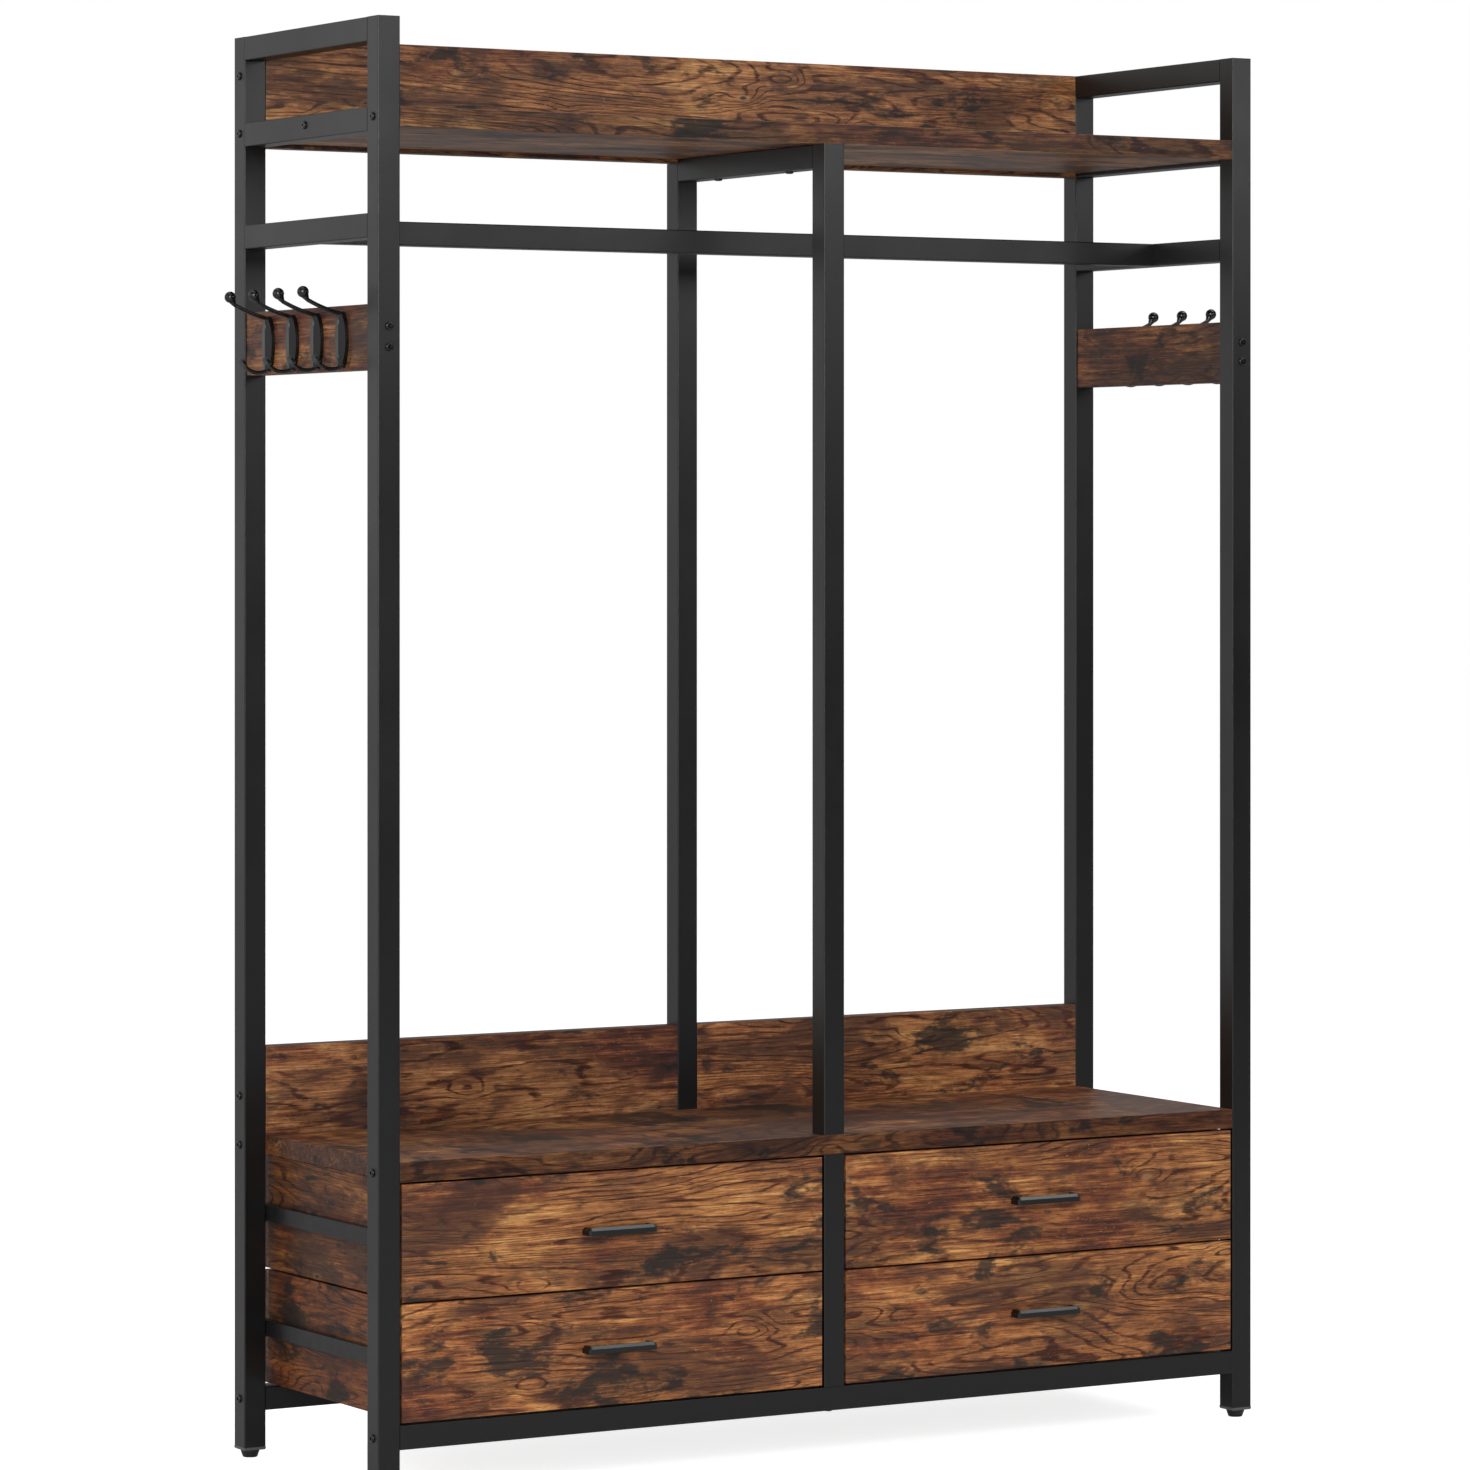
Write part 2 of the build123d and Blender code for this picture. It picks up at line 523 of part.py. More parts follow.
def handle():
    """A bowed pull on the plane Y = 0, its bar towards -Y, with the holes of its two screws."""
    half = HANDLE_LENGTH / 2
    outer = Rectangle(HANDLE_LENGTH, HANDLE_REACH)
    outer = fillet(outer.vertices().group_by(Axis.Y)[0], HANDLE_BEND)
    inner = Rectangle(HANDLE_LENGTH - 2 * HANDLE_LEG, HANDLE_REACH - HANDLE_BAR)
    inner = fillet(inner.vertices().group_by(Axis.Y)[0], HANDLE_INNER_BEND)
    bow = Pos(0, -HANDLE_REACH / 2) * outer - Pos(0, -(HANDLE_REACH - HANDLE_BAR) / 2) * inner
    bar = extrude(bow, amount=HANDLE_HEIGHT / 2, both=True)
    upper_front = bar.edges().filter_by(Axis.X).group_by(Axis.Y)[0].sort_by(Axis.Z)[-1]
    bar = chamfer(upper_front, HANDLE_CHAMFER)
    for sign in (-1, 1):
        bar -= rod((sign * (half - HANDLE_LEG / 2), 0, 0), (0, -1, 0), HANDLE_SCREW_RADIUS, HANDLE_SCREW_GRIP)
    return bar


def pan_screw(radius, length, head_radius, head_height):
    """A pan-head screw along +Z, its head's seat at Z = 0."""
    head = Pos(0, 0, -head_height / 2) * Cylinder(head_radius, head_height)
    return head + Pos(0, 0, length / 2) * Cylinder(radius, length)


def make_drawer(column, sign, row, low):
    """One drawer: its boards, pull, slide members and ball cages."""
    name = f"{row}_{column}_drawer"
    high = low + FRONT_HEIGHT
    middle = (low + high) / 2
    centre = sign * COLUMN_CENTRE
    half_front = (INNER_SIDE - HALF) / 2 - FRONT_SIDE_GAP
    half_box = (INNER_SIDE - HALF) / 2 - SLIDE_WIDTH
    half_inside = half_box - BOX_THICK
    back_face = FRONT + FRONT_THICK
    inside_back = BOX_BACK - BOX_THICK
    base = low + BOTTOM_RAISE

    panel = (
        (centre - half_inside - GROOVE_DEPTH, centre + half_inside + GROOVE_DEPTH),
        (back_face - GROOVE_DEPTH, inside_back + GROOVE_DEPTH),
        (base, base + BOTTOM_THICK),
    )
    groove = block(*panel)
    face = board((centre - half_front, centre + half_front), (FRONT, back_face), (low, high))
    pull_places = [centre + side * (HANDLE_LENGTH - HANDLE_LEG) / 2 for side in (-1, 1)]
    for x in pull_places:
        face -= rod((x, FRONT, middle), (0, 1, 0), HANDLE_SCREW_RADIUS, FRONT_THICK)
    nodes[f"{name}_front"] = face - groove

    sides = []
    for side in (-1, 1):
        x = (centre + side * half_inside, centre + side * half_box)
        sides.append(board(x, (back_face, inside_back), (low, high), grain=Axis.Y) - groove)
    nodes[f"{name}_sides"] = solids(sides)
    across = (centre - half_box, centre + half_box)
    nodes[f"{name}_back"] = board(across, (inside_back, BOX_BACK), (low, high)) - groove
    nodes[f"{name}_bottom"] = groove

    pull = [Pos(centre, FRONT, middle) * handle()]
    length = FRONT_THICK + HANDLE_SCREW_GRIP
    screw = pan_screw(HANDLE_SCREW_RADIUS, length, HANDLE_SCREW_HEAD_RADIUS, HANDLE_SCREW_HEAD_HEIGHT)
    for x in pull_places:
        pull.append(placed(screw, (x, back_face, middle), (0, -1, 0)))
    nodes[f"{name}_handle"] = solids(pull)

    members, cages = [], []
    for x, towards in slide_places(sign):
        for shape, kept in ((inner_member(), members), (ball_cage(), cages)):
            kept.append(Pos(x, 0, middle) * facing(shape, towards))
        for bx, by, bz in ball_places():
            cages.append(Pos(x + towards * bx, by, middle + bz) * Sphere(BALL_RADIUS))
    nodes[f"{name}_slides"] = solids(members)
    nodes[f"{row}_{column}_ball_cages"] = solids(cages)


def make_drawers():
    shape = channel()
    channels = []
    for column, sign in COLUMNS.items():
        for row, low in ROWS.items():
            make_drawer(column, sign, row, low)
            for x, towards in slide_places(sign):
                channels.append(Pos(x, 0, low + FRONT_HEIGHT / 2) * facing(shape, towards))
    nodes["slide_channels"] = solids(channels)


make_end_frames()
make_centre_frame()
make_long_rails()
make_boards()
make_hooks()
make_feet()
make_drawers()
make_fasteners()

os.makedirs("parts", exist_ok=True)
for name, part in nodes.items():
    export_step(part, f"parts/{name}.step")
print(len(nodes), "nodes")
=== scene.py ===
from math import pi, radians

import bmesh
import bpy
from mathutils import Matrix, Vector


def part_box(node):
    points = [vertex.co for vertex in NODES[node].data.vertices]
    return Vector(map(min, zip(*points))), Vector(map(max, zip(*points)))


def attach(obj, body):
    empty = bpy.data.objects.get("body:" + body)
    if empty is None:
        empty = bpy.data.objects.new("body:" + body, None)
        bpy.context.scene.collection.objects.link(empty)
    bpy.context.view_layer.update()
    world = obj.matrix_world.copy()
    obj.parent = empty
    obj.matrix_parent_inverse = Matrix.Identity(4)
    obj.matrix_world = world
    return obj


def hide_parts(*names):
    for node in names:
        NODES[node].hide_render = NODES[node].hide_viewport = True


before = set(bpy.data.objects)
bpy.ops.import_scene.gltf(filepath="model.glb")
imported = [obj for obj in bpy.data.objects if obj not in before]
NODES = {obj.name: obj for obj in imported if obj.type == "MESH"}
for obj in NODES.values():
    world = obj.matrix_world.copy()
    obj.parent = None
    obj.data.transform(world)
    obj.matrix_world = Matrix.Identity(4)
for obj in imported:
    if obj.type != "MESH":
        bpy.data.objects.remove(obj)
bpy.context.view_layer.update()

# Hall tree in the shared frame: metres, +X right, +Y back, +Z up, origin on the floor under its middle.
SCENE = bpy.context.scene
SIDES = ("left", "right")
DRAWERS = [f"{row}_{side}_drawer" for row in ("upper", "lower") for side in SIDES]

# ---------- studio ----------
FLOOR_SIZE = 60.0
FLOOR_COLOUR = (0.78, 0.78, 0.785, 1)
FLOOR_GLOW = 0.80             # added for the camera only, so that the floor melts into the background
WHITE = (1, 1, 1, 1)
BRIGHT_SIDE = (-0.28, 0.94, 0.20)   # where the world's light comes from
WORLD_LIGHT = (0.08, 0.50)    # its strength on the dim side and on the bright side
DIM_FROM = -0.2               # cosine to the bright side below which the world is at its dimmest

# Area lights: name, place, target, size in metres and power in watts.
LIGHTS = [
    ("overhead_softbox", (-0.4, -0.6, 5.2), (0, 0, 0), (5.0, 5.0), 62),
    ("right_overhead_strip", (2.6, -0.3, 5.0), (0, 0, 0.2), (1.8, 2.6), 50),
    ("key_softbox", (-4.2, -5.0, 2.6), (0, 0, 0.8), (3.0, 3.0), 265),
    ("left_softbox", (-5.5, 0.2, 2.2), (0, 0, 0.9), (2.6, 3.0), 40),
    ("top_front_strip", (1.4, -2.9, 2.1), (0, 0, 1.8), (2.8, 0.7), 18),
    ("rear_left_panel", (-3.5, 4.4, 1.6), (-0.65, 0, 1.2), (1.9, 4.0), 13),
]

CAMERA_PLACE = (-3.8512, -6.4248, 1.1890)
CAMERA_TURN = 30.7301         # degrees to the right of straight at the front
CAMERA_SENSOR = 36.0
CAMERA_LENS = 141.275
CAMERA_SHIFT = (-0.0003, -0.1457)
CAMERA_REACH = 200.0


# ---------- small helpers ----------
def linear(r, g, b):
    """An sRGB colour, 0 to 255, as linear RGBA."""
    def channel(value):
        c = value / 255
        return c / 12.92 if c <= 0.04045 else ((c + 0.055) / 1.055) ** 2.4
    return (channel(r), channel(g), channel(b), 1.0)


def shade(colour, factor, lift=0.0):
    """The colour made lighter or darker."""
    return (*(min(1.0, c * factor + lift) for c in colour[:3]), 1.0)


class Graph:
    """A material's node tree with short calls to add nodes and link them."""

    def __init__(self, name):
        self.material = bpy.data.materials.new(name)
        self.material.use_nodes = True
        self.tree = self.material.node_tree
        self.shader = self.tree.nodes["Principled BSDF"]

    def put(self, socket, value):
        """Links an output to a socket, or sets the socket to a constant."""
        if isinstance(value, bpy.types.NodeSocket):
            self.tree.links.new(value, socket)
        else:
            socket.default_value = value

    def node(self, kind, inputs=None, **settings):
        made = self.tree.nodes.new(kind)
        for key, value in settings.items():
            setattr(made, key, value)
        for key, value in (inputs or {}).items():
            self.put(made.inputs[key], value)
        return made

    def mapped(self, scale, offset=(0, 0, 0), turn=(0, 0, 0)):
        """Object coordinates, scaled, turned and moved."""
        place = self.node("ShaderNodeTexCoord").outputs["Object"]
        inputs = {"Vector": place, "Location": offset, "Rotation": turn, "Scale": scale}
        return self.node("ShaderNodeMapping", inputs).outputs["Vector"]

    def noise(self, vector, scale, detail=2.0, roughness=0.5, distortion=0.0):
        inputs = {"Vector": vector, "Scale": scale, "Detail": detail,
                  "Roughness": roughness, "Distortion": distortion}
        return self.node("ShaderNodeTexNoise", inputs).outputs["Fac"]

    def math(self, operation, a, b=0.0, c=0.0):
        made = self.node("ShaderNodeMath", operation=operation)
        for socket, value in zip(made.inputs, (a, b, c)):
            self.put(socket, value)
        return made.outputs["Value"]

    def spread(self, value, low, high, to_low=0.0, to_high=1.0):
        """Maps low..high smoothly to to_low..to_high."""
        inputs = {"Value": value, "From Min": low, "From Max": high, "To Min": to_low, "To Max": to_high}
        return self.node("ShaderNodeMapRange", inputs, interpolation_type="SMOOTHSTEP").outputs["Result"]

    def mix(self, factor, a, b, blend="MIX"):
        made = self.node("ShaderNodeMix", data_type="RGBA", blend_type=blend)
        self.put(made.inputs["Factor"], factor)
        self.put(made.inputs["A"], a)
        self.put(made.inputs["B"], b)
        return made.outputs["Result"]

    def ramp(self, factor, stops):
        made = self.node("ShaderNodeValToRGB", {"Fac": factor})
        elements = made.color_ramp.elements
        while len(elements) < len(stops):
            elements.new(0.5)
        for element, (position, colour) in zip(elements, stops):
            element.position = position
            element.color = colour
        return made.outputs["Color"]

    def bump(self, height, strength, distance):
        inputs = {"Height": height, "Strength": strength, "Distance": distance}
        return self.node("ShaderNodeBump", inputs).outputs["Normal"]


# ---------- wood-look laminate ----------
GOLD = linear(207, 153, 91)
TAN = linear(166, 107, 61)
BROWN = linear(128, 75, 46)
RED = linear(98, 53, 36)
PLUM = linear(66, 44, 36)
CHARCOAL = linear(37, 35, 33)
LINE = linear(58, 29, 18)
KNOT_RING = linear(196, 148, 96)

# Waves per metre of each part of the print, along the grain and across it.
CLOUDS = (4.2, 10.0)
BROAD_STREAKS = (4.0, 80.0)
THIN_STREAKS = (7.0, 300.0)
MOTTLE = (30.0, 75.0)
CATHEDRALS = (1.5, 10.5)
KNOTS = (6.5, 15.0)
LINE_WAVER = (12.0, 70.0)
LINE_ZONES = (3.0, 8.0)
LINE_BREAKS = (22.0, 240.0)
FINE_GRAIN = (30.0, 700.0)
PORES = (75.0, 900.0)
FLECKS = (150.0, 420.0)
RAGGED_EDGES = (45.0, 130.0)
SHADOWS = (5.5, 13.0)
BLOTS = (9.5, 23.0)

# How much each part counts in the tone, and the tone at which each colour stands.
TONE_SHARES = {"clouds": 0.52, "broad": 0.34, "thin": 0.34, "mottle": 0.24}
TONE_COLOURS = [(0.605, PLUM), (0.66, RED), (0.71, BROWN), (0.775, TAN), (0.865, GOLD)]
FINE_TONES = [(0.38, (0.54, 0.51, 0.50, 1)), (0.62, (1.46, 1.44, 1.42, 1))]
RINGS = 205.0                 # radians of ring lines over the cathedral field's range
KNOT_RARITY = 0.55            # share of the knots' cells that hold none


def wood(name, grain, shift, tint, widen=1.0):
    """Rustic brown laminate with its grain along X or Y. shift picks another stretch of the print, tint
    scales its colour, and widen stretches it across the grain."""
    g = Graph(name)
    turn = (0, 0, 0) if grain == "X" else (0, 0, pi / 2)
    place = g.mapped((1, 1, 1), shift, turn)

    def stretched(waves):
        along, across = waves
        inputs = {"Vector": place, "Scale": (along, across / widen, across / widen)}
        return g.node("ShaderNodeMapping", inputs).outputs["Vector"]

    # The print's slow clouds of colour, broken up by broad and thin streaks along the grain.
    clouds = g.noise(stretched(CLOUDS), 1.0, 5.0, 0.62, 0.6)
    broad = g.noise(stretched(BROAD_STREAKS), 1.0, 4.0, 0.62, 0.3)
    thin = g.noise(stretched(THIN_STREAKS), 1.0, 3.0, 0.70, 0.2)
    mottle = g.noise(stretched(MOTTLE), 1.0, 4.0, 0.70, 0.5)
    tone = g.math("MULTIPLY", clouds, TONE_SHARES["clouds"])
    tone = g.math("MULTIPLY_ADD", broad, TONE_SHARES["broad"], tone)
    tone = g.math("MULTIPLY_ADD", thin, TONE_SHARES["thin"], tone)
    tone = g.math("MULTIPLY_ADD", mottle, TONE_SHARES["mottle"], tone)
    colour = g.ramp(tone, TONE_COLOURS)

    # Cathedral grain: contour lines of a stretched field, with loops round the knots.
    field = g.noise(stretched(CATHEDRALS), 1.0, 2.2, 0.42, 0.35)
    knots = g.node("ShaderNodeTexVoronoi", {"Vector": stretched(KNOTS), "Scale": 1.0}, feature="F1")
    knot_distance = knots.outputs["Distance"]
    knot_pull = g.spread(knot_distance, 0.0, 0.30, 0.07, 0.0)
    waver = g.math("MULTIPLY", g.noise(stretched(LINE_WAVER), 1.0, 3.0, 0.55), 0.040)
    level = g.math("ADD", g.math("ADD", field, knot_pull), waver)
    wave = g.math("SINE", g.math("MULTIPLY", level, RINGS))
    lines = g.spread(wave, 0.45, 0.99)
    line_zone = g.spread(g.noise(stretched(LINE_ZONES), 1.0, 3.0, 0.6), 0.38, 0.52)
    broken = g.spread(g.noise(stretched(LINE_BREAKS), 1.0, 2.0, 0.6), 0.32, 0.60, 0.30, 1.0)
    line_strength = g.math("MULTIPLY", g.math("MULTIPLY", lines, line_zone), broken)
    between = g.math("MULTIPLY", g.math("SUBTRACT", 1.0, lines), line_zone)
    colour = g.mix(g.math("MULTIPLY", between, 0.16), colour, GOLD)
    colour = g.mix(g.math("MULTIPLY", line_strength, 0.90), colour, LINE)

    # Fine grain, short dark pores and pale flecks.
    fine = g.noise(stretched(FINE_GRAIN), 1.0, 3.0, 0.65)
    colour = g.mix(0.85, colour, g.ramp(fine, FINE_TONES), "MULTIPLY")
    pores = g.spread(g.noise(stretched(PORES), 1.0, 1.0, 0.5), 0.64, 0.71, 0.0, 0.65)
    colour = g.mix(pores, colour, LINE)
    flecks = g.spread(g.noise(stretched(FLECKS), 1.0, 2.0, 0.6), 0.66, 0.74, 0.0, 0.45)
    colour = g.mix(flecks, colour, KNOT_RING)

    # Large dull shadows and charcoal blots with ragged edges.
    rag = g.noise(stretched(RAGGED_EDGES), 1.0, 5.0, 0.70)
    dull_cloud = g.noise(stretched(SHADOWS), 1.0, 4.0, 0.6, 0.6)
    dull = g.spread(g.math("MULTIPLY_ADD", rag, 0.25, dull_cloud), 0.61, 0.73, 0.0, 0.66)
    colour = g.mix(dull, colour, PLUM)
    blot = g.noise(stretched(BLOTS), 1.0, 5.0, 0.58, 0.5)
    blots = g.spread(g.math("MULTIPLY_ADD", rag, 0.30, blot), 0.695, 0.80, 0.0, 0.85)
    colour = g.mix(blots, colour, CHARCOAL)

    # Small knots: a dark heart with a pale ring.
    parts = g.node("ShaderNodeSeparateColor", {"Color": knots.outputs["Color"]})
    chosen = g.math("GREATER_THAN", parts.outputs["Red"], KNOT_RARITY)
    edge = g.math("MULTIPLY_ADD", rag, 0.06, knot_distance)
    ring = g.math("MULTIPLY", g.spread(edge, 0.125, 0.075), chosen)
    heart = g.math("MULTIPLY", g.spread(edge, 0.080, 0.055), chosen)
    colour = g.mix(g.math("MULTIPLY", ring, 0.40), colour, KNOT_RING)
    colour = g.mix(g.math("MULTIPLY", heart, 0.88), colour, CHARCOAL)
    colour = g.mix(1.0, colour, (*tint, 1), "MULTIPLY")

    g.put(g.shader.inputs["Base Color"], colour)
    roughness = g.spread(fine, 0.2, 0.8, 0.50, 0.40)
    g.put(g.shader.inputs["Roughness"], g.math("MULTIPLY_ADD", blots, 0.06, roughness))
    g.shader.inputs["Specular IOR Level"].default_value = 0.28
    relief = g.math("ADD", g.math("MULTIPLY", fine, 0.6), g.math("MULTIPLY", line_strength, -0.5))
    g.put(g.shader.inputs["Normal"], g.bump(relief, 0.22, 0.0004))
    return g.material


# ---------- paint, plastic and bare steel ----------
def powder_coat(name, base, rough, grain=0.10, cell=1500.0):
    """Satin powder coat: fine orange peel, slow changes of gloss, and faint dust. grain is the depth of
    the peel, and cell its waves per metre."""
    g = Graph(name)
    place = g.mapped((1, 1, 1))
    peel = g.noise(place, cell, 2.0, 0.5)
    slow = g.noise(place, 7.0, 3.0, 0.55)
    speck = g.noise(place, 420.0, 2.0, 0.6)
    tone = g.ramp(slow, [(0.3, shade(base, 0.90)), (0.7, shade(base, 1.10))])
    dust = g.spread(speck, 0.66, 0.80, 0.0, 0.18)
    g.put(g.shader.inputs["Base Color"], g.mix(dust, tone, shade(base, 2.2, 0.01)))
    g.put(g.shader.inputs["Roughness"], g.spread(slow, 0.3, 0.7, rough - 0.03, rough + 0.04))
    g.put(g.shader.inputs["Normal"], g.bump(peel, grain, 0.00025))
    return g.material


def moulded(name, base, rough):
    """Moulded plastic with a fine spark-eroded grain and rubbed high spots."""
    g = Graph(name)
    place = g.mapped((1, 1, 1))
    grain = g.noise(place, 900.0, 3.0, 0.6)
    rub = g.noise(place, 60.0, 3.0, 0.6)
    tone = g.ramp(rub, [(0.35, shade(base, 0.85)), (0.75, shade(base, 1.30))])
    g.put(g.shader.inputs["Base Color"], tone)
    g.put(g.shader.inputs["Roughness"], g.spread(rub, 0.3, 0.7, rough + 0.06, rough - 0.06))
    g.put(g.shader.inputs["Normal"], g.bump(grain, 0.25, 0.0003))
    return g.material


def rolled_steel(name, base, rough=0.34):
    """Zinc-coated sheet steel, drawn along the slide."""
    g = Graph(name)
    drawn = g.noise(g.mapped((8.0, 2.0, 900.0)), 1.0, 3.0, 0.6)
    bloom = g.noise(g.mapped((1, 1, 1)), 45.0, 3.0, 0.6)
    blend = g.math("MULTIPLY_ADD", drawn, 0.5, g.math("MULTIPLY", bloom, 0.5))
    tone = g.ramp(blend, [(0.35, shade(base, 0.80)), (0.65, shade(base, 1.20))])
    g.put(g.shader.inputs["Base Color"], tone)
    g.shader.inputs["Metallic"].default_value = 0.85
    g.put(g.shader.inputs["Roughness"], g.spread(bloom, 0.3, 0.7, rough - 0.06, rough + 0.08))
    g.put(g.shader.inputs["Normal"], g.bump(drawn, 0.15, 0.0002))
    return g.material


STEEL = powder_coat("black_powder_coat", linear(13, 13, 13), rough=0.34)
CAST = powder_coat("black_cast_paint", linear(8, 9, 9), rough=0.22, cell=900.0)
BOLT = powder_coat("black_oxide", linear(9, 9, 10), rough=0.13, grain=0.01, cell=2200.0)
SLIDE = rolled_steel("dark_zinc_slide", linear(52, 52, 54))
ZINC = rolled_steel("zinc_plate", linear(196, 197, 194), rough=0.28)
PLUG = moulded("charcoal_plug_plastic", linear(86, 87, 88), rough=0.46)
FOOT = moulded("black_foot_plastic", linear(22, 22, 23), rough=0.42)


# ---------- meshes ----------
BOARD_EDGE = 0.0009           # rounding of a board's edges
EDGE_SEGMENTS = 3


def finished(name, shape, material, body, replaced):
    """Turns a bmesh into a piece that rides on a body and replaces its CAD nodes."""
    mesh = bpy.data.meshes.new(name)
    shape.to_mesh(mesh)
    shape.free()
    for polygon in mesh.polygons:
        polygon.use_smooth = True
    mesh.materials.append(material)
    piece = bpy.data.objects.new(name, mesh)
    SCENE.collection.objects.link(piece)
    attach(piece, body)
    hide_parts(*replaced)
    return piece


def bevelled_box(shape, low, high, radius):
    """Adds a box with rounded edges to a bmesh."""
    size = [h - l for l, h in zip(low, high)]
    middle = [(h + l) / 2 for l, h in zip(low, high)]
    matrix = Matrix.Translation(middle) @ Matrix.Diagonal((*size, 1))
    made = bmesh.ops.create_cube(shape, size=1.0, matrix=matrix)
    edges = list({edge for vertex in made["verts"] for edge in vertex.link_edges})
    bmesh.ops.bevel(shape, geom=edges, offset=radius, segments=EDGE_SEGMENTS, profile=0.5,
                    affect="EDGES", clamp_overlap=True)


def board_piece(name, node, material, body, rim_material=None):
    """A board with softly rounded edges, in place of the CAD board. The faces round its rim can have a
    print of their own."""
    low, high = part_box(node)
    shape = bmesh.new()
    bevelled_box(shape, low, high, BOARD_EDGE)
    piece = finished(name, shape, material, body, (node,))
    if rim_material:
        size = list(high - low)
        thin_axis = size.index(min(size))
        piece.data.materials.append(rim_material)
        for polygon in piece.data.polygons:
            polygon.material_index = int(abs(polygon.normal[thin_axis]) < 0.5)
    # Flat faces stay flat beside their rounded edges.
    piece.modifiers.new("weighted", "WEIGHTED_NORMAL").keep_sharp = True


# For each board: where in the print it is cut, the tints of its faces and of its rim, and how far its
# print is stretched across the grain. The back panel's rim tint is painted shade.
BOARD_PRINTS = {
    "top_shelf": ((0.31, 0.02, 0.0), (0.84, 0.92, 1.00), (0.42, 0.44, 0.50), 1.0),
    # The back panel's rim tint is near-black: painted shade on its lower edge, which lies in shade under
    # the shelf.
    "top_back_panel": ((1.7, 0.4, 0.25), (0.86, 0.94, 1.12), (0.22, 0.20, 0.20), 1.0),
    "bench_top": ((2.45, 0.13, 0.6), (0.74, 0.74, 0.80), (0.33, 0.30, 0.32), 3.5),
    "left_backsplash": ((0.9, 0.8, 0.33), (0.86, 0.92, 1.14), (0.40, 0.40, 0.42), 1.0),
    "right_backsplash": ((4.3, 0.35, 0.17), (0.98, 1.00, 1.16), (0.40, 0.40, 0.42), 1.0),
}
RIM_SHIFT = (0.7, 1.9, 0.4)
HOOK_BOARD_PRINTS = {
    "left_hook_board": ((4.1, 0.3, 0.12), (0.60, 0.62, 0.66)),
    "right_hook_board": ((6.1, 0.3, 0.12), (0.52, 0.52, 0.54)),
}

# Where in the print the first drawer's boards are cut, and the step to the next drawer's.
FRONT_CUT = ((1.3, 0.0, 0.11), (1.9, 0.21, 0.37))
SIDE_CUT = ((2.2, 0.0, 0.0), (1.1, 0.2, 0.43))
BOTTOM_CUT = ((0.0, 0.9, 0.2), (0.4, 0.0, 0.0))
BOTTOM_TINT = (0.6, 0.6, 0.6)

# For each row of drawers: the tints of the fronts and of the box sides.
DRAWER_TINTS = {
    "upper": ((0.96, 0.97, 1.02), (0.46, 0.39, 0.26)),
    "lower": ((1.10, 1.10, 1.14), (0.46, 0.33, 0.18)),
}


def make_boards():
    for node, (shift, tint, rim_tint, widen) in BOARD_PRINTS.items():
        face = wood(f"{node}_print", "X", shift, tint, widen)
        rim = wood(f"{node}_edge_print", "X", RIM_SHIFT, rim_tint)
        board_piece(f"{node}_board", node, face, "frame", rim)
    for node, (shift, tint) in HOOK_BOARD_PRINTS.items():
        board_piece(f"{node}_plank", node, wood(f"{node}_print", "Y", shift, tint), "frame")


def paint(node, material):
    """Gives a CAD node a better material."""
    mesh = NODES[node].data
    mesh.materials.clear()
    mesh.materials.append(material)


def paint_frame():
    for node in NODES:
        if node.endswith(("upright", "_rails", "_rail", "_post", "hanging_rod")):
            paint(node, STEEL)
    for node in ("left_hooks", "right_hooks"):
        paint(node, CAST)
    for node in ("frame_bolts", "hook_screws"):
        paint(node, BOLT)
    for node in ("joining_studs", "threaded_inserts"):
        paint(node, ZINC)
    paint("leg_plugs", PLUG)
    paint("slide_channels", SLIDE)
    for side in SIDES:
        for end in ("front", "rear"):
            paint(f"{side}_{end}_foot", FOOT)


def stepped(cut, k):
    """Where in the print the k-th drawer's board is cut."""
    return [start + step * k for start, step in zip(*cut)]


def make_drawers():
    for k, name in enumerate(DRAWERS):
        front_tint, side_tint = DRAWER_TINTS[name.split("_")[0]]
        front = wood(f"{name}_front_print", "X", stepped(FRONT_CUT, k), front_tint)
        sides = wood(f"{name}_side_print", "Y", stepped(SIDE_CUT, k), side_tint)
        bottom = wood(f"{name}_bottom_print", "X", stepped(BOTTOM_CUT, k), BOTTOM_TINT)
        board_piece(f"{name}_face", f"{name}_front", front, name)
        paint(f"{name}_sides", sides)
        paint(f"{name}_back", front)
        paint(f"{name}_bottom", bottom)
        paint(f"{name}_handle", CAST)
        paint(f"{name}_slides", SLIDE)
        paint(name.replace("_drawer", "_ball_cages"), ZINC)


# ---------- stage, lights and camera ----------
def camera_only(tree, other, seen):
    """A shader that is seen by the camera, mixed with another that lights the object."""
    path = tree.nodes.new("ShaderNodeLightPath")
    blend = tree.nodes.new("ShaderNodeMixShader")
    tree.links.new(path.outputs["Is Camera Ray"], blend.inputs["Fac"])
    tree.links.new(other, blend.inputs[1])
    tree.links.new(seen, blend.inputs[2])
    return blend.outputs["Shader"]


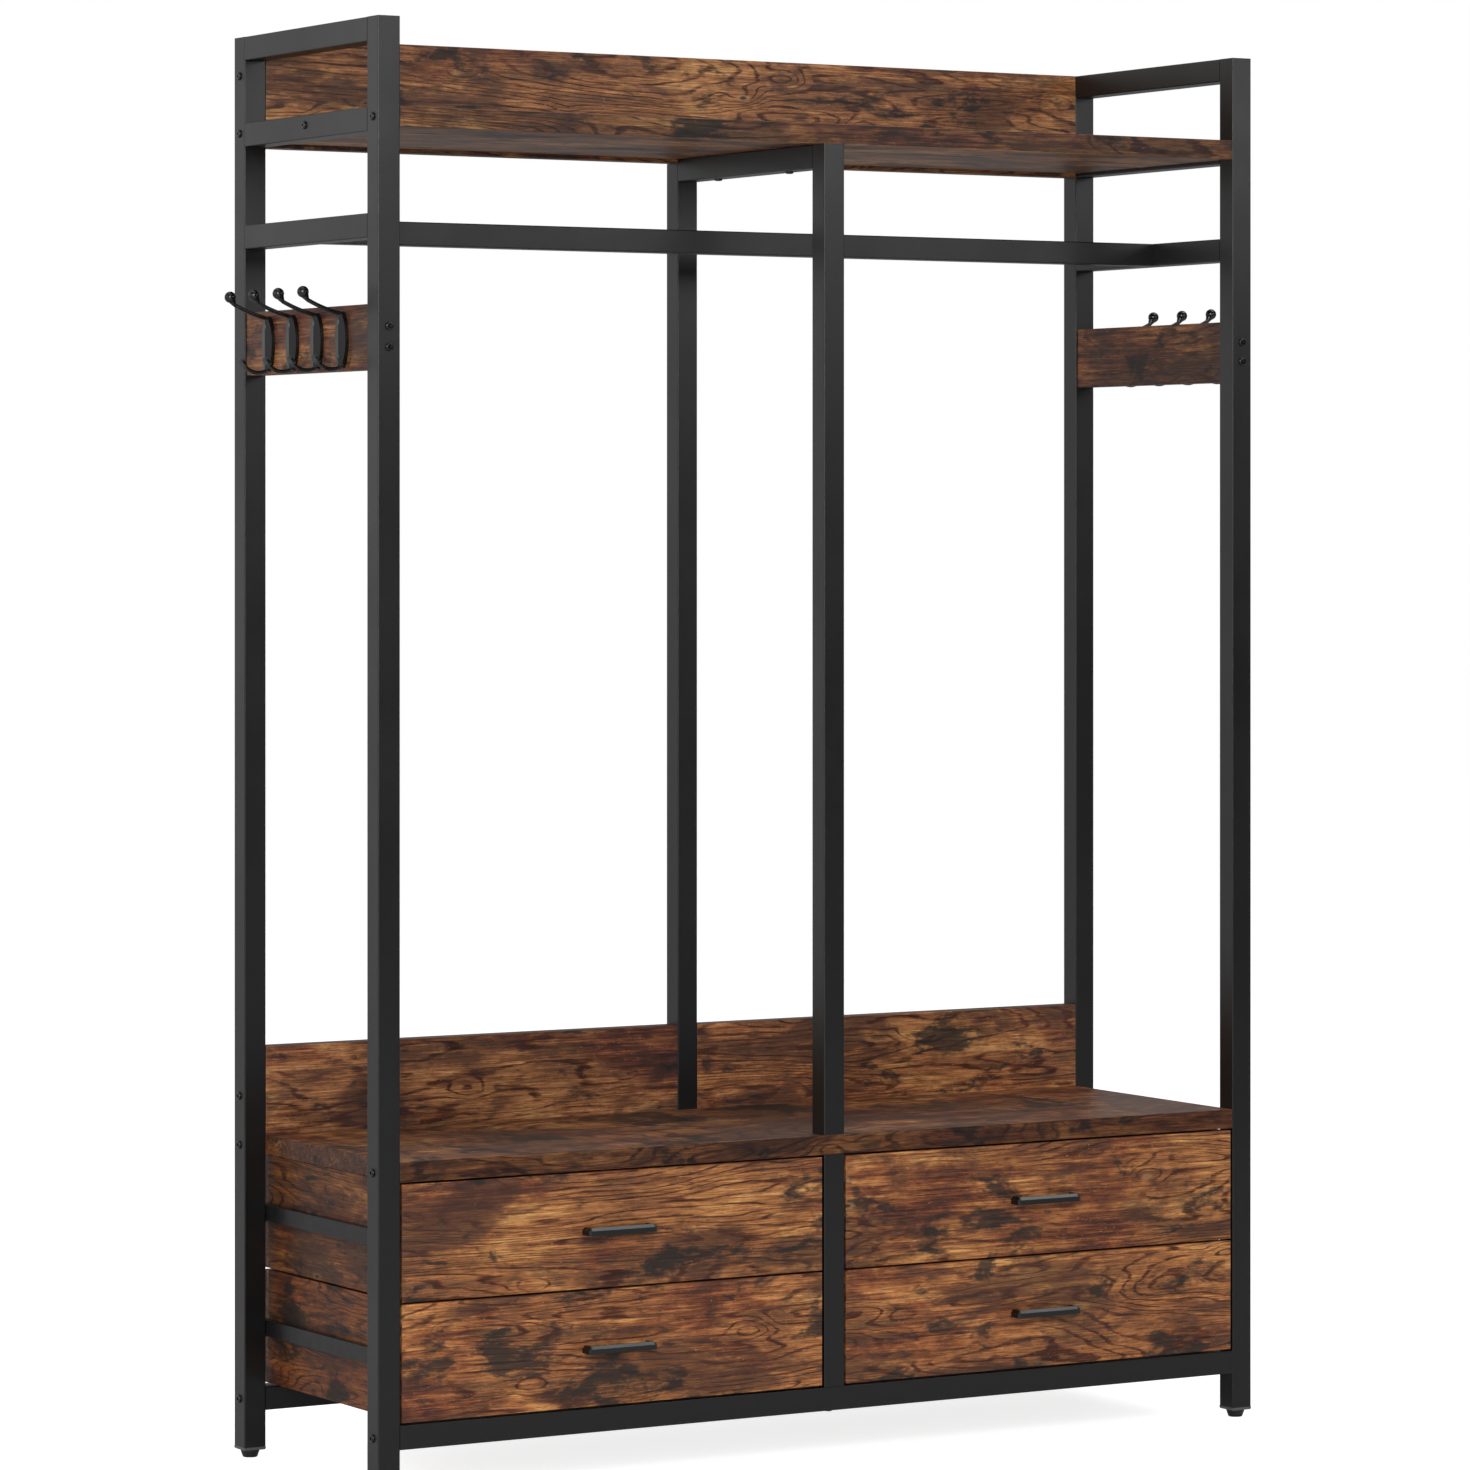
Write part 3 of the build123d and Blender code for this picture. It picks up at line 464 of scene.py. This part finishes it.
def make_floor():
    """A pale floor that is bright enough to melt into the background, and still takes a soft shadow."""
    shape = bmesh.new()
    bmesh.ops.create_grid(shape, x_segments=1, y_segments=1, size=FLOOR_SIZE / 2)
    mesh = bpy.data.meshes.new("studio_floor")
    shape.to_mesh(mesh)
    shape.free()
    floor = bpy.data.objects.new("studio_floor", mesh)
    SCENE.collection.objects.link(floor)
    g = Graph("studio_floor")
    g.shader.inputs["Base Color"].default_value = FLOOR_COLOUR
    g.shader.inputs["Roughness"].default_value = 0.6
    g.shader.inputs["Specular IOR Level"].default_value = 0.2
    glow = g.node("ShaderNodeEmission", {"Color": WHITE, "Strength": FLOOR_GLOW}).outputs["Emission"]
    bright = g.tree.nodes.new("ShaderNodeAddShader")
    g.tree.links.new(g.shader.outputs["BSDF"], bright.inputs[0])
    g.tree.links.new(glow, bright.inputs[1])
    surface = camera_only(g.tree, g.shader.outputs["BSDF"], bright.outputs["Shader"])
    g.tree.links.new(surface, g.tree.nodes["Material Output"].inputs["Surface"])
    mesh.materials.append(g.material)


def make_world():
    """White to the camera. As light it is bright behind the object and dim in front of it."""
    world = bpy.data.worlds.new("studio")
    world.use_nodes = True
    SCENE.world = world
    tree = world.node_tree
    seen = tree.nodes.new("ShaderNodeBackground")
    seen.inputs["Color"].default_value = WHITE
    seen.inputs["Strength"].default_value = 1.0
    lit = tree.nodes["Background"]
    lit.inputs["Color"].default_value = WHITE
    direction = tree.nodes.new("ShaderNodeTexCoord").outputs["Generated"]
    along = tree.nodes.new("ShaderNodeVectorMath")
    along.operation = "DOT_PRODUCT"
    tree.links.new(direction, along.inputs[0])
    along.inputs[1].default_value = BRIGHT_SIDE
    ease = tree.nodes.new("ShaderNodeMapRange")
    tree.links.new(along.outputs["Value"], ease.inputs["Value"])
    ease.inputs["From Min"].default_value = DIM_FROM
    ease.inputs["To Min"].default_value, ease.inputs["To Max"].default_value = WORLD_LIGHT
    tree.links.new(ease.outputs["Result"], lit.inputs["Strength"])
    surface = camera_only(tree, lit.outputs["Background"], seen.outputs["Background"])
    tree.links.new(surface, tree.nodes["World Output"].inputs["Surface"])


def area_light(name, place, target, size, power):
    data = bpy.data.lights.new(name, "AREA")
    data.shape = "RECTANGLE"
    data.size, data.size_y = size
    data.energy = power
    light = bpy.data.objects.new(name, data)
    light.location = place
    light.visible_camera = False
    aim = Vector(target) - Vector(place)
    light.rotation_euler = aim.to_track_quat("-Z", "Y").to_euler()
    SCENE.collection.objects.link(light)


def make_camera():
    """A level camera at the front left, far off with a long lens."""
    data = bpy.data.cameras.new("camera")
    data.sensor_width = CAMERA_SENSOR
    data.lens = CAMERA_LENS
    data.shift_x, data.shift_y = CAMERA_SHIFT
    data.clip_end = CAMERA_REACH
    data.dof.use_dof = False
    camera = bpy.data.objects.new("camera", data)
    camera.location = CAMERA_PLACE
    camera.rotation_euler = (pi / 2, 0, -radians(CAMERA_TURN))
    SCENE.collection.objects.link(camera)
    SCENE.camera = camera


make_camera()
make_floor()
make_world()
for light in LIGHTS:
    area_light(*light)
paint_frame()
make_boards()
make_drawers()
SCENE.view_settings.view_transform = "Standard"
